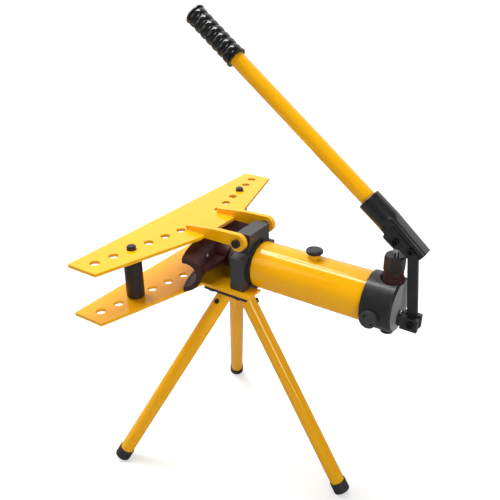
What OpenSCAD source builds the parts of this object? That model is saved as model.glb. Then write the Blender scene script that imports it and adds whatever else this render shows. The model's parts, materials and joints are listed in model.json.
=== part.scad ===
// Hydraulic pipe bender on a tripod stand, in millimetres, standing on the floor plane.
// The bench frame used inside the modules has X = 0 at the block's front face and Z = 0 on the ram axis,
// with the ram pushing towards -X and the pump at +X.

/* [Stand] */
// Height of the ram axis above the floor
axis_h = 480; // [440:1:530]
// Outer diameter of a leg tube
leg_d = 30; // [27:0.5:32]
// Wall of a leg tube
leg_wall = 2; // [1.5:0.1:3]
// Lean of the legs from the vertical, in degrees
leg_splay = 31.2; // [27:0.1:33]
// Compass angle of the right front leg from the rear leg, in degrees
turn_right = 125; // [118:1:130]
// Compass angle of the left front leg from the rear leg, in degrees
turn_left = 137; // [130:1:140]
// Distance of a leg's axis from the legs' meeting point, under the tripod plate
leg_ring = 4.8; // [2:0.1:6]
// Distance along a leg from the tripod plate to the top of its tube
leg_start = 30.5; // [30:0.5:40]
// Distance of the legs' meeting point in front of the block's front face
leg_centre = 24; // [18:0.5:28]
// Length of the stub inside its leg
stub_in = 30; // [26:1:40]
// Distance of a leg screw from the top of its leg tube
screw_drop = 22; // [11:0.5:24]
// Turn of a leg screw round its leg from the outer side, in degrees
screw_turn = 45; // [0:5:60]
// Diameter of a leg screw's shank
screw_d = 5; // [4:0.5:6]
// Wall of a rubber foot
foot_wall = 1.8; // [1.4:0.1:3]
// Distance along a leg from the floor to the top of its rubber foot
foot_l = 29; // [24:1:36]
// Distance along a leg from the floor to the square end of its foot
foot_end = 6.5; // [5:0.5:8]
// Rubber under the end of the leg, measured along it
foot_sole = 11; // [10:0.5:14]
// Thickness of the tripod plate
tripod_t = 8; // [5:0.5:9]
// Front to back length of the tripod plate
tripod_l = 96; // [90:1:110]
// Reach of the tripod plate in front of the block's front face
tripod_front = 57; // [50:1:64]
// Width of the tripod plate
tripod_w = 124; // [120:1:128]

/* [Wings] */
// Length of a wing plate across the machine
wing_l = 546; // [500:2:620]
// Thickness of a wing plate
wing_t = 6; // [5:0.5:8]
// Distance of the wings' front edge in front of the block's front face
wing_reach = 182; // [170:1:190]
// Depth of a wing plate at its outer ends
wing_end_d = 64.5; // [58:0.5:76]
// Depth of a wing plate at its middle
wing_mid_d = 124; // [118:1:130]
// Width of the straight middle stretch of a wing's rear edge
wing_mid_w = 130; // [128:1:136]
// Height of the upper wing's underside above the ram axis
upper_gap = 51.5; // [50:0.5:54]
// Drop of the lower wing's top face below the ram axis
lower_gap = 38.7; // [37:0.1:40]
// Reach of the lower wing's tongue behind the block's front face
tongue_l = 47.5; // [42:0.5:60]
// Diameter of a roller hole
hole_d = 18; // [16:0.5:20]
// Number of roller holes on each side
hole_n = 6; // [5:1:6]
// Distance of the innermost roller hole from the middle
hole_first = 61; // [58:0.5:66]
// Spacing of the roller holes across the machine
hole_pitch = 36.8; // [32:0.2:37.6]
// Distance of the innermost roller hole behind the front edge
hole_back = 73.9; // [70:0.5:78]
// Forward step from one roller hole to the next
hole_rake = 7.8; // [7:0.1:8.6]

/* [Rollers] */
// Hole that holds the roller, counted from the middle
roller_hole = 4; // [2:1:5]
// Diameter of a roller's body
roller_d = 33; // [28:0.5:36]
// Radial clearance of a roller's spigots in their holes
spigot_c = 0.6; // [0.3:0.1:0.8]
// Height of a roller's upper spigot above the upper wing
spigot_up = 7; // [4:0.5:10]
// Width of the bevel on a spigot's end
spigot_bevel = 1.5; // [0.5:0.1:2.5]
// Width of the bevel on a roller's body
roller_bevel = 3; // [1:0.5:5]

/* [Block and hinge] */
// Thickness of the block along the ram axis
block_t = 29; // [27:0.5:34]
// Width of the block
block_w = 110; // [107:1:114]
// Height of the block's top above the ram axis
block_top = 69.6; // [66:0.2:74]
// Width of the block at its top
block_top_w = 66; // [58:1:69]
// Height of the block's shoulders above the ram axis, at their edges
block_shoulder = 27; // [24:0.5:30]
// Width of the block's neck at its foot
neck_w = 70; // [67:1:76]
// Height of the neck's foot above the ram axis
neck_low = 32; // [31:0.5:36]
// Diameter of the round nose on the block's front
nose_d = 60; // [56:1:66]
// Length of the round nose
nose_l = 8; // [6:0.5:12]
// Height of the wing hinge above the ram axis
hinge_z = 59.7; // [59:0.1:62]
// Diameter of a hinge bolt's shank
hinge_d = 10; // [8:0.5:12]
// Diameter of a hinge bolt's head
hinge_head_d = 16; // [15:0.5:20]
// Height of a hinge bolt's head
hinge_head_t = 6.5; // [5:0.5:8]
// Depth of a hinge bolt's thread in the block
hinge_grip = 26; // [20:1:30]
// Diameter of the hinge bosses on the block
boss_d = 18; // [16:0.5:19]
// Distance of a hinge lug's inner face from the middle
lug_y = 44; // [42:0.5:47]
// Thickness of a hinge lug
lug_t = 10; // [8:0.5:11]
// Radius of a hinge lug's eye
lug_r = 16.5; // [15:0.5:19]
// Distance of a hinge lug's tip in front of the block's front face
lug_tip = 101; // [90:1:110]
// Height of a hinge lug's tip above the upper wing
lug_tip_h = 9.5; // [6:0.5:12]
// Distance of the bend in a lug's top edge in front of the block's front face
lug_bend = 41; // [30:1:50]
// Drop of that bend below the top of the eye
lug_bend_drop = 2.2; // [0:0.2:4]

/* [Ram and cylinder] */
// Diameter of the ram rod
rod_d = 38; // [34:0.5:40]
// Diameter of the rod's pilot in the former and in the piston
pilot_d = 24; // [18:1:28]
// Bore of the working cylinder
cyl_id = 50; // [49:0.5:52]
// Outer diameter of the working cylinder
cyl_od = 62; // [58:0.5:64]
// Length of the piston
piston_l = 24; // [20:1:30]
// Gap between the piston and the end of the cylinder at rest
piston_gap = 18; // [10:1:24]
// Width of the piston's seal
seal_w = 6; // [4:0.5:8]
// Depth of the piston's seal
seal_t = 4; // [3:0.5:5]
// Outer diameter of the rod guide
guide_d = 48; // [46:0.5:50]
// Thickness of the rod guide's flange
guide_flange = 3; // [2:0.5:4]
// Length of the rod wiper
wiper_l = 5; // [4:0.5:6]
// Depth of the cylinder's seat in the block
cyl_seat = 14; // [11:0.5:16]
// Wire diameter of the return spring
wire_d = 4; // [3:0.5:4.4]
// Number of turns of the return spring
spring_n = 12; // [8:1:13]

/* [Tank] */
// Outer diameter of the tank tube
tank_d = 88.9; // [86:0.1:89]
// Wall of the tank tube
tank_wall = 3.2; // [2.6:0.1:4]
// Length of the tank tube
tank_l = 220; // [200:1:260]
// Rounding of the tank's front edge
tank_round = 4; // [2:0.5:5]
// Thickness of the lock ring in front of the tank
ring_t = 5; // [4:0.5:7]
// Outer diameter of the lock ring
ring_d = 96; // [92:0.5:97]
// Number of slots in the lock ring
ring_n = 6; // [4:1:8]
// Width of a slot in the lock ring
ring_slot = 12; // [8:1:18]
// Distance of the filler behind the block's front face
filler_x = 144; // [110:1:180]
// Diameter of the filler neck
neck_d = 21; // [18:0.5:24]
// Height of the filler neck's rim above the tank's top
neck_h = 8; // [6:0.5:12]
// Bore of the filler neck
neck_bore = 12; // [10:0.5:14]
// Diameter of the filler cap
cap_d = 30; // [26:0.5:36]
// Height of the filler cap
cap_h = 7.5; // [6:0.5:10]
// Rounding of the filler cap's edge
cap_round = 2.5; // [1:0.1:2.9]

/* [Pump head] */
// Diameter of the pump head
head_d = 97; // [94:0.5:102]
// Length of the pump head
head_l = 54; // [52:0.5:60]
// Bevel on the pump head's end
head_bevel = 3.5; // [2:0.5:4.5]
// Length of the head's spigot in the tank
head_spigot = 8; // [6:0.5:12]
// Depth of the cylinder's seat in the head
head_seat = 8; // [6:0.5:10]
// Distance of the pump axis from the head's end face
pump_inset = 18; // [17:0.5:19]
// Height of the pump's flat seat above the ram axis
pump_seat = 42; // [40:0.5:44]
// Diameter of the pump barrel and gland threads
thread_d = 20; // [18:0.5:21]
// Depth of the pump barrel in the head
barrel_depth = 28; // [24:1:30]
// Width of the barrel's hexagon across its corners
barrel_hex = 39.5; // [36:0.5:41]
// Height of the barrel above the head
barrel_h = 22.5; // [20:0.5:23]
// Height of the barrel's hexagon
flange_h = 13; // [10:0.5:16]
// Diameter of the barrel's collar above its hexagon
collar_d = 33.5; // [31:0.5:34]
// Width of the gland's hexagon across its corners
gland_hex = 36; // [33:0.5:36.5]
// Height of the gland's hexagon
gland_h = 27; // [25:0.5:27.5]
// Height of the plunger's packing
packing_h = 4; // [3:0.5:6]
// Depth of the gland's thread in the barrel
gland_depth = 8; // [6:0.5:10]
// Bevel on the gland's top
gland_bevel = 3; // [1:0.5:4]
// Diameter of the pump plunger
plunger_d = 11; // [9:0.5:12]
// Height of the plunger's lower end above the ram axis
plunger_low = 30; // [27:0.5:34]
// Diameter of the valve bore under the pump
valve_d = 14; // [12:0.5:15]
// Distance of the valve bore from the head's end face
valve_inset = 18; // [17.5:0.5:18.5]
// Height of the valve bore's upper end below the ram axis
valve_top = 20; // [18:0.5:24]
// Diameter of an oil passage
oil_d = 5; // [4.5:0.5:6]
// Diameter of a cross drilling between two passages
drill_d = 3.6; // [3:0.2:4]
// Diameter of a valve ball
ball_d = 9; // [8:0.5:10]
// Diameter of the drain plug's head
plug_d = 22; // [18:0.5:26]
// Height of the drain plug's head
plug_h = 8.5; // [6:0.5:10]
// Length of the drain plug's thread
plug_l = 10; // [8:0.5:11]
// Distance of the release valve from the head's front face
release_x = 20; // [19:0.5:22]
// Drop of the release valve below the ram axis
release_drop = 11; // [10.5:0.1:12]
// Diameter of the release valve's spindle
release_d = 12; // [10:0.5:12.5]
// Distance of the release valve's seat from the middle
release_seat = 14; // [12:0.5:18]
// Diameter of the release knob
knob_d = 30; // [26:0.5:34]
// Thickness of the release knob
knob_t = 8; // [7:0.5:12]
// Diameter of the wrench holes in the release knob
knob_hole = 4; // [3:0.5:5]
// Spacing of the wrench holes in the release knob
knob_pitch = 18; // [14:0.5:20]

/* [Linkage] */
// Drop of the link's lower pin below the ram axis
pin_low_z = 23.5; // [20:0.5:26]
// Distance of the link's lower pin behind the head's end face
pin_low_x = 24; // [22:0.5:27]
// Height of the link's upper pin above the ram axis
pin_up_z = 108; // [106:0.5:114]
// Distance of the link's upper pin behind the pump axis
pin_up_x = 27; // [25:0.5:30]
// Height of the plunger pin above the link's upper pin
pin_rise = 10; // [8:0.5:12]
// Diameter of the linkage pins
pin_d = 8; // [6:0.5:9]
// Diameter of a linkage pin's head
pin_head_d = 13; // [11:0.5:14]
// Thickness of a linkage pin's head
pin_head_t = 2.5; // [2:0.5:3]
// Width of the link
link_w = 16.5; // [14:0.5:17]
// Thickness of the link
link_t = 7.5; // [6:0.5:8]
// Thickness of one fork ear of the clevis
ear_t = 9.5; // [7:0.5:11]
// Height of the clevis
clevis_h = 24; // [22:0.5:28]
// Distance from the clevis pin to the ends of the ears
clevis_end = 12; // [10:0.5:14]
// Thickness of the clevis bridge
bridge_t = 4; // [3:0.5:5]
// Width of the clevis lock nut across its corners
nut_hex = 30; // [26:0.5:34]
// Thickness of the clevis lock nut
nut_t = 7; // [6:0.5:8]
// Diameter of the clevis stud
stud_d = 16; // [12:0.5:18]
// Depth of the clevis stud in the head
stud_l = 9; // [7:0.5:9.5]
// Diameter of the plunger's eye
eye_d = 26; // [24:0.5:27]
// Thickness of the plunger's eye
eye_t = 14; // [11:0.5:15]
// Radial room around the plunger pin in its eye
eye_room = 3.2; // [2.8:0.1:3.6]
// Lengthways room added to the plunger pin's slot
eye_slot = 2; // [1:0.5:3]

/* [Handle] */
// Lean of the handle above the horizontal at rest, in degrees
handle_up = 37.6; // [25:0.1:45]
// Distance from the link's upper pin to the grip's end
handle_l = 535; // [480:5:640]
// Outer diameter of the handle tube
handle_d = 26.9; // [24:0.1:28]
// Wall of the handle tube
handle_wall = 2.6; // [2:0.1:3.2]
// Outer diameter of the handle socket
socket_d = 38; // [34:0.5:40]
// Distance from the link's upper pin to the socket's mouth
socket_l = 107; // [95:1:130]
// Distance from the link's upper pin to the bottom of the socket
socket_floor = 74; // [72:0.5:80]
// Thickness of the wall at the bottom of the socket
socket_wall = 5; // [4:0.5:6]
// Height of the handle's axis above the link's upper pin
handle_off = 3.6; // [2:0.1:5]
// Distance from the link's upper pin to where the socket is pressed flat
press_s = 50; // [48:0.5:54]
// Overhang of the channel beyond the link's upper pin
channel_end = 18.5; // [15:0.5:22]
// Height of the channel's web above the upper pin, at the channel's end
web_p = 13; // [12.5:0.1:15]
// Thickness of the channel's web
web_t = 3.5; // [2.5:0.1:4]
// Width of the channel over its ears
channel_w = 24; // [23.5:0.1:28]
// Thickness of a channel ear
channel_t = 4; // [3:0.1:4.2]
// Length of the rubber grip
grip_l = 109; // [90:1:130]
// Number of beads on the grip
grip_n = 7; // [4:1:9]
// Outer diameter of the grip's beads
grip_d = 36; // [34:0.5:38]
// Outer diameter of the grip between its beads
grip_neck = 31; // [30:0.5:32]
// Diameter of the grip's end flanges
grip_flange = 38; // [36:0.5:42]
// Length of a grip flange
flange_l = 4.5; // [3:0.5:6]

/* [Former] */
// Radius of the former's lip in plan
former_r = 250; // [220:1:280]
// Half angle of the former's arc, in degrees
former_half = 28; // [24:0.5:30]
// Height of the former
former_h = 69; // [62:0.5:72]
// Depth of the former's rim from its lip to its back
rim_depth = 35; // [33:0.5:37]
// Radius of the pipe groove
groove_r = 25; // [21:0.5:27]
// Gap between the former's front and the block's front face
former_front = 92; // [88:1:96]
// Depth of the former from its lip to the back of its web at the ends
former_d = 46; // [43:0.5:49]
// Depth of the former from its lip to the back of its web in the middle
web_deep = 59; // [56:0.5:60]
// Half width of the web's straight back
web_flat = 43; // [38:1:48]
// Thickness of the former's web
former_web = 10; // [8:0.5:14]
// Diameter of the former's hub
hub_d = 48; // [44:0.5:54]
// Depth of the former from its lip to the back of its hub
hub_back = 61; // [58:0.5:66]
// Depth of the rod's pilot in the hub
pilot_l = 21; // [16:0.5:24]
// Diameter of the holes through the former's rim
core_d = 8; // [6:0.5:9]
// Distance of the holes from the middle
core_y = 52; // [44:1:60]
// Height of the holes above the ram axis
core_z = 14; // [12:0.5:16]

/* [Fasteners and fits] */
// Diameter of the base bolts' shanks
bolt_d = 8; // [6:0.5:10]
// Width of the base bolts' heads across their corners
bolt_hex = 18; // [15:0.5:19]
// Height of the base bolts' heads
bolt_head = 6.4; // [5:0.1:7]
// Depth of the rear base bolts in the block
bolt_grip = 16; // [12:1:24]
// Distance of the front base bolts from the tripod plate's front edge
bolt_inset = 11; // [9:0.5:14]
// Distance of the base bolts from the middle
bolt_y = 47.5; // [45:0.5:48]
// Radial clearance of running fits
run_c = 0.05; // [0.02:0.01:0.1]
// Radial clearance of assembled fits
fit_c = 0.05; // [0.02:0.01:0.1]
// Clearance between faces that move past each other
face_c = 0.3; // [0.2:0.05:0.5]

/* [Hidden] */
$fn = 96;
big = 2000;

// Stations along the ram axis
ring_x = block_t;
tank_x = ring_x + ring_t;
head_x = tank_x + tank_l;
head_end = head_x + head_l;
pump_x = head_end - pump_inset;
valve_x = head_end - valve_inset;
cyl_x = block_t - cyl_seat + guide_flange;
cyl_end = head_x + head_seat;
guide_x = wiper_l - nose_l;
piston_x = cyl_end - piston_gap - piston_l;
rod_front = hub_back - former_front;
former_x = former_r - former_front;

// Heights from the ram axis
floor_z = -axis_h;
lower_z = -lower_gap - wing_t;
tripod_z = lower_z - tripod_t;
upper_top = upper_gap + wing_t;
tank_top = tank_d / 2;
neck_top = tank_top + neck_h;
barrel_low = pump_seat - barrel_depth;
barrel_top = pump_seat + barrel_h;
gland_low = barrel_top - gland_depth;
plunger_z = pin_up_z + pin_rise;

// The release valve's ball, seated on the mouth of its oil passage
release_ball_d = ball_d - 1;
release_ball_y = -release_seat - fit_c - sqrt(pow(release_ball_d / 2, 2) - pow(oil_d / 2, 2));

// Legs
leg_r = leg_d / 2;
stub_d = leg_d - 2 * leg_wall - 2 * fit_c;
leg_l = (tripod_z - floor_z) / cos(leg_splay);
foot_r = leg_r + foot_wall;
screw_head_d = 2 * screw_d;
screw_head_t = 0.6 * screw_d;

// Hinge, rollers and holes
hinge_x = block_t / 2;
lug_out = lug_y + lug_t;
boss_end = lug_y - face_c;
plate_back = wing_mid_d - wing_reach;
roller_i = roller_hole - 1;
roller_x = hole_back - wing_reach - roller_i * hole_rake;
roller_y = hole_first + roller_i * hole_pitch;
spigot_d = hole_d - 2 * spigot_c;

// Linkage and handle
pin_low_at = [head_end + pin_low_x, -pin_low_z];
pin_up_at = [pump_x + pin_up_x, pin_up_z];
link_l = norm(pin_up_at - pin_low_at);
link_lean = atan2(pin_up_at[0] - pin_low_at[0], pin_up_at[1] - pin_low_at[1]);
fork_gap = link_t / 2 + face_c;
fork_out = fork_gap + ear_t;
clevis_x = head_end + nut_t;
clevis_back = pin_low_at[0] + clevis_end;
channel_out = channel_w / 2;
channel_in = channel_out - channel_t;
plunger_s = pin_up_x * cos(handle_up) + pin_rise * sin(handle_up);
plunger_p = pin_rise * cos(handle_up) - pin_up_x * sin(handle_up);
grip_s = handle_l - grip_l;
tube_end = handle_l - flange_l - fit_c;

// The part's origin is on the floor, in the middle of its length and width
foot_out = leg_ring + (tripod_z - floor_z) * tan(leg_splay);
front_most = min(-wing_reach, foot_front(turn_right), foot_front(turn_left));
rear_most = clevis_back;
origin_x = -(front_most + rear_most) / 2;

yellow = "#f5b81c";
black = "#2b2b2e";
maroon = "#46292a";
steel = "#b9bcc0";
rubber = "#1a1a1c";
bronze = "#a97e3e";

module bench() {
    translate([origin_x, 0, axis_h]) children();
}

// A round bar along X between two stations
module x_bar(x0, x1, d) {
    translate([x0, 0, 0]) rotate([0, 90, 0]) cylinder(h = x1 - x0, d = d);
}

// A round bar along Y between two stations
module y_bar(y0, y1, d) {
    translate([0, y0, 0]) rotate([-90, 0, 0]) cylinder(h = y1 - y0, d = d);
}

// A plate between two Y stations, from an outline drawn in X and Z
module side_plate(y0, y1) {
    translate([0, y1, 0]) rotate([90, 0, 0]) linear_extrude(height = y1 - y0) children();
}

// A plate between two X stations, from an outline drawn in Y and Z
module cross_plate(x0, x1) {
    translate([x0, 0, 0]) rotate([90, 0, 90]) linear_extrude(height = x1 - x0) children();
}

// A body turned about the X axis, from an outline of station and radius
module x_turned() {
    rotate([90, 0, 90]) rotate([0, 0, -90]) rotate_extrude() children();
}

module both_sides() {
    children();
    mirror([0, 1, 0]) children();
}

// Places something on a leg's axis, with Z = 0 at the leg's top and Z falling along the leg
// Foremost point of the foot at a leg's compass angle
function foot_front(turn) = (foot_out - foot_end * sin(leg_splay)) * cos(turn) - leg_centre
    - foot_r * sqrt(pow(cos(leg_splay) * cos(turn), 2) + pow(sin(turn), 2));

module on_leg(turn) {
    translate([-leg_centre, 0, 0])
        rotate([0, 0, turn])
            translate([leg_ring, 0, tripod_z])
                rotate([0, -leg_splay, 0])
                    children();
}

// The space between two heights
module slab(z0, z1) {
    translate([-big / 2, -big / 2, z0]) cube([big, big, z1 - z0]);
}

// Local frame of the handle: X from the link's upper pin to the grip, Z square to it, away from the head
module on_handle() {
    translate([pin_up_at[0], 0, pin_up_at[1]])
        rotate([0, handle_up, 0])
            rotate([0, 0, 180])
                children();
}

module headed_pin(at, reach) {
    translate([at[0], 0, at[1]]) {
        y_bar(-reach - face_c, reach + face_c, pin_d - 2 * fit_c);
        both_sides() y_bar(reach + face_c, reach + face_c + pin_head_t, pin_head_d);
    }
}

module tripod_plate() {
    color(black) bench() difference() {
        translate([-tripod_front, -tripod_w / 2, tripod_z]) cube([tripod_l, tripod_w, tripod_t]);
        ring_relief();
        base_bolt_holes();
    }
}

// Room below the lock ring and the tank behind the block
module ring_relief() {
    x_bar(block_t - face_c, block_t + big, ring_d + 4 * face_c);
    relief_w = 2 * sqrt(pow(ring_d / 2 + 2 * face_c, 2) - pow(lower_z, 2));
    translate([block_t - face_c, -relief_w / 2, lower_z - big]) cube([big, relief_w, big]);
}

module at_base_bolts() {
    both_sides() {
        translate([bolt_inset - tripod_front, bolt_y, 0]) children();
        translate([block_t / 2, bolt_y, 0]) children();
    }
}

module base_bolt_holes() {
    at_base_bolts() translate([0, 0, tripod_z - 1]) cylinder(h = big, d = bolt_d);
}

module base_bolts() {
    color(steel) bench() both_sides() {
        translate([bolt_inset - tripod_front, bolt_y, 0]) base_bolt(-lower_gap);
        translate([block_t / 2, bolt_y, 0]) base_bolt(bolt_grip - lower_gap);
    }
}

module base_bolt(top) {
    translate([0, 0, tripod_z - bolt_head]) cylinder(h = bolt_head, d = bolt_hex, $fn = 6);
    translate([0, 0, tripod_z - bolt_head]) cylinder(h = top - tripod_z + bolt_head, d = bolt_d - 2 * fit_c);
}

module leg_stub(turn) {
    difference() {
        intersection() {
            on_leg(turn) translate([0, 0, -leg_start - stub_in]) cylinder(h = big, d = stub_d);
            slab(floor_z, tripod_z);
        }
        on_leg(turn) screw_shape(fit_c);
    }
}

module leg_stubs() {
    color(black) bench() {
        leg_stub(0);
        leg_stub(turn_right);
        leg_stub(-turn_left);
    }
}

// A leg's screw, square to the leg
module screw_shape(room) {
    translate([0, 0, -leg_start - screw_drop])
        rotate([0, 90, screw_turn])
            cylinder(h = leg_r, d = screw_d + 2 * room);
}

module leg(turn) {
    color(yellow) bench() difference() {
        on_leg(turn) translate([0, 0, foot_sole - leg_l])
            cylinder(h = leg_l - foot_sole - leg_start, d = leg_d);
        on_leg(turn) translate([0, 0, -big / 2]) cylinder(h = big, d = leg_d - 2 * leg_wall);
        on_leg(turn) screw_shape(fit_c);
    }
}

module leg_rear() {
    leg(0);
}

module leg_left() {
    leg(-turn_left);
}

module leg_right() {
    leg(turn_right);
}

// A rubber cap with a square end, cut flat where it stands on the floor
module foot(turn) {
    color(rubber) bench() difference() {
        intersection() {
            on_leg(turn) translate([0, 0, foot_end - leg_l]) cylinder(h = foot_l - foot_end, r = foot_r);
            slab(floor_z, tripod_z);
        }
        on_leg(turn) translate([0, 0, foot_sole - leg_l - fit_c]) cylinder(h = big, d = leg_d + 2 * fit_c);
    }
}

module foot_rear() {
    foot(0);
}

module foot_left() {
    foot(-turn_left);
}

module foot_right() {
    foot(turn_right);
}

module leg_screws() {
    color(steel) bench() for (turn = [0, turn_right, -turn_left]) on_leg(turn) {
        screw_shape(0);
        rotate([0, 0, screw_turn])
            translate([leg_r - fit_c, 0, -leg_start - screw_drop])
                rotate([0, 90, 0])
                    cylinder(h = screw_head_t, d = screw_head_d);
    }
}

module wing_plate(z0, rear) {
    end_y = wing_l / 2;
    mid_y = wing_mid_w / 2;
    translate([0, 0, z0]) linear_extrude(height = wing_t) polygon([
        [-wing_reach, -end_y],
        [-wing_reach, end_y],
        [wing_end_d - wing_reach, end_y],
        [plate_back, mid_y],
        [rear, mid_y],
        [rear, -mid_y],
        [plate_back, -mid_y],
        [wing_end_d - wing_reach, -end_y]
    ]);
}

module roller_holes() {
    for (i = [0 : hole_n - 1]) both_sides()
        translate([hole_back - wing_reach - i * hole_rake, hole_first + i * hole_pitch, -big / 2])
            cylinder(h = big, d = hole_d);
}

module lower_wing() {
    color(yellow) bench() difference() {
        wing_plate(lower_z, tongue_l);
        roller_holes();
        ring_relief();
        base_bolt_holes();
    }
}

module upper_wing() {
    color(yellow) bench() difference() {
        wing_plate(upper_gap, plate_back + 0.01);
        roller_holes();
    }
}

module hinge_lug() {
    difference() {
        side_plate(lug_y, lug_out) polygon([
            [-lug_tip, upper_top],
            [plate_back + fit_c, upper_top],
            [plate_back + fit_c, upper_gap],
            [hinge_x, upper_gap],
            [hinge_x, hinge_z + lug_r],
            [-lug_bend, hinge_z + lug_r - lug_bend_drop],
            [-lug_tip, upper_top + lug_tip_h]
        ]);
        hinge_bore();
    }
    difference() {
        translate([hinge_x, 0, hinge_z]) y_bar(lug_y, lug_out, 2 * lug_r);
        hinge_bore();
    }
}

module hinge_bore() {
    translate([hinge_x, 0, hinge_z]) y_bar(0, big, hinge_d + 2 * run_c);
}

module hinge_lugs() {
    color(yellow) bench() both_sides() hinge_lug();
}

module hinge_bolts() {
    color(steel) bench() both_sides() translate([hinge_x, 0, hinge_z]) {
        y_bar(boss_end - hinge_grip, lug_out + face_c, hinge_d);
        y_bar(lug_out + face_c, lug_out + face_c + hinge_head_t, hinge_head_d);
    }
}

module block() {
    half = block_w / 2;
    neck_half = neck_w / 2;
    top_half = block_top_w / 2;
    color(black) bench() difference() {
        union() {
            cross_plate(0, block_t) polygon([
                [-half, -lower_gap],
                [half, -lower_gap],
                [half, block_shoulder],
                [neck_half, neck_low],
                [top_half, block_top],
                [-top_half, block_top],
                [-neck_half, neck_low],
                [-half, block_shoulder]
            ]);
            x_bar(-nose_l, block_t / 2, nose_d);
            translate([hinge_x, 0, hinge_z]) y_bar(-boss_end, boss_end, boss_d);
        }
        x_bar(-big, big, guide_d + 2 * fit_c);
        x_bar(block_t - cyl_seat, big, cyl_od + 2 * fit_c);
        both_sides() translate([hinge_x, 0, hinge_z]) y_bar(boss_end - hinge_grip, big, hinge_d + 2 * fit_c);
        both_sides() translate([block_t / 2, bolt_y, -lower_gap - 1])
            cylinder(h = bolt_grip + 1, d = bolt_d);
    }
}

module rod_guide() {
    color(bronze) bench() difference() {
        union() {
            x_bar(guide_x, block_t - cyl_seat + guide_flange / 2, guide_d);
            x_bar(block_t - cyl_seat, cyl_x, cyl_od);
        }
        x_bar(-big, big, rod_d + 2 * run_c);
    }
}

module rod_wiper() {
    color(rubber) bench() difference() {
        x_bar(-nose_l, guide_x, guide_d);
        x_bar(-big, big, rod_d + 2 * run_c);
    }
}

module lock_ring() {
    slot_deep = (ring_d - tank_d) / 2;
    color(black) bench() difference() {
        x_bar(ring_x, tank_x, ring_d);
        x_bar(-big, big, cyl_od + 2 * fit_c);
        for (i = [0 : ring_n - 1]) rotate([i * 360 / ring_n, 0, 0])
            translate([ring_x - 1, -ring_slot / 2, ring_d / 2 - slot_deep])
                cube([ring_t + 2, ring_slot, ring_d]);
    }
}

module tank_tube() {
    arc = [for (a = [0 : 15 : 90]) [
        tank_top - tank_round + tank_round * sin(a),
        tank_x + tank_round - tank_round * cos(a)
    ]];
    color(yellow) bench() difference() {
        x_turned() polygon(concat([[0, tank_x]], arc, [[tank_top, head_x], [0, head_x]]));
        x_bar(tank_x + tank_wall + tank_round, big, tank_d - 2 * tank_wall);
        x_bar(-big, big, cyl_od + 2 * fit_c);
        translate([filler_x, 0, 0]) cylinder(h = big, d = neck_bore);
    }
}

module filler_neck() {
    color(yellow) bench() difference() {
        translate([filler_x, 0, 0]) cylinder(h = neck_top, d = neck_d);
        x_bar(-big, big, tank_d + 2 * fit_c);
        translate([filler_x, 0, 0]) cylinder(h = big, d = neck_bore);
    }
}

module filler_cap() {
    r = cap_d / 2;
    low = neck_top + face_c;
    high = low + cap_h;
    rim = [for (a = [0 : 15 : 90]) [
        r - cap_round + cap_round * cos(a),
        high - cap_round + cap_round * sin(a)
    ]];
    foot_rim = [for (a = [0 : 15 : 90]) [
        r - cap_round + cap_round * sin(a),
        low + cap_round - cap_round * cos(a)
    ]];
    color(rubber) bench() translate([filler_x, 0, 0]) {
        rotate_extrude() polygon(concat([[0, low]], foot_rim, rim, [[0, high]]));
        translate([0, 0, tank_top - tank_wall]) cylinder(h = low - tank_top + tank_wall + 1,
            d = neck_bore - 2 * run_c);
    }
}

module work_cylinder() {
    color(steel) bench() difference() {
        x_bar(cyl_x, cyl_end, cyl_od);
        x_bar(-big, big, cyl_id);
        for (x = cylinder_seal_stations()) seal_groove(x, fit_c);
    }
}

function cylinder_seal_stations() = [
    (cyl_x + block_t) / 2 - seal_w / 4,
    (head_x + cyl_end) / 2 - seal_w / 4
];

module seal_groove(x, room) {
    difference() {
        x_bar(x - room, x + seal_w / 2 + room, cyl_od + 1);
        x_bar(x - 1, x + seal_w, cyl_od - seal_t - 2 * room);
    }
}

module cylinder_seals() {
    color(rubber) bench() for (x = cylinder_seal_stations()) intersection() {
        seal_groove(x, 0);
        x_bar(0, big, cyl_od);
    }
}

module ram_rod() {
    color(steel) bench() {
        x_bar(rod_front, piston_x, rod_d);
        x_bar(rod_front - pilot_l, piston_x + piston_l, pilot_d);
    }
}

module piston_groove(room) {
    x = piston_x + piston_l / 2 - seal_w / 2;
    difference() {
        x_bar(x - room, x + seal_w + room, cyl_id + 1);
        x_bar(x - 1, x + seal_w + 1, cyl_id - 2 * seal_t - 2 * room);
    }
}

module piston() {
    color(steel) bench() difference() {
        x_bar(piston_x, piston_x + piston_l, cyl_id - 2 * run_c);
        x_bar(-big, big, pilot_d + 2 * fit_c);
        piston_groove(fit_c);
    }
}

module piston_seal() {
    color(rubber) bench() intersection() {
        piston_groove(0);
        x_bar(0, big, cyl_id - 2 * run_c);
    }
}

// Return spring: one tube of six sides along a helix round the rod
spring_steps = 12;
spring_sides = 6;
spring_mean = (rod_d + cyl_id) / 4;
spring_x0 = cyl_x + face_c + wire_d / 2;
spring_x1 = piston_x - face_c - wire_d / 2;
spring_rings = spring_n * spring_steps;
function spring_point(i, k) =
    let (turn = 360 * i / spring_steps)
    let (side = 360 * k / spring_sides)
    let (r = spring_mean + wire_d / 2 * cos(side))
    [
        spring_x0 + (spring_x1 - spring_x0) * i / spring_rings + wire_d / 2 * sin(side),
        r * cos(turn),
        r * sin(turn)
    ];
function spring_index(i, k) = i * spring_sides + k % spring_sides;

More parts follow.
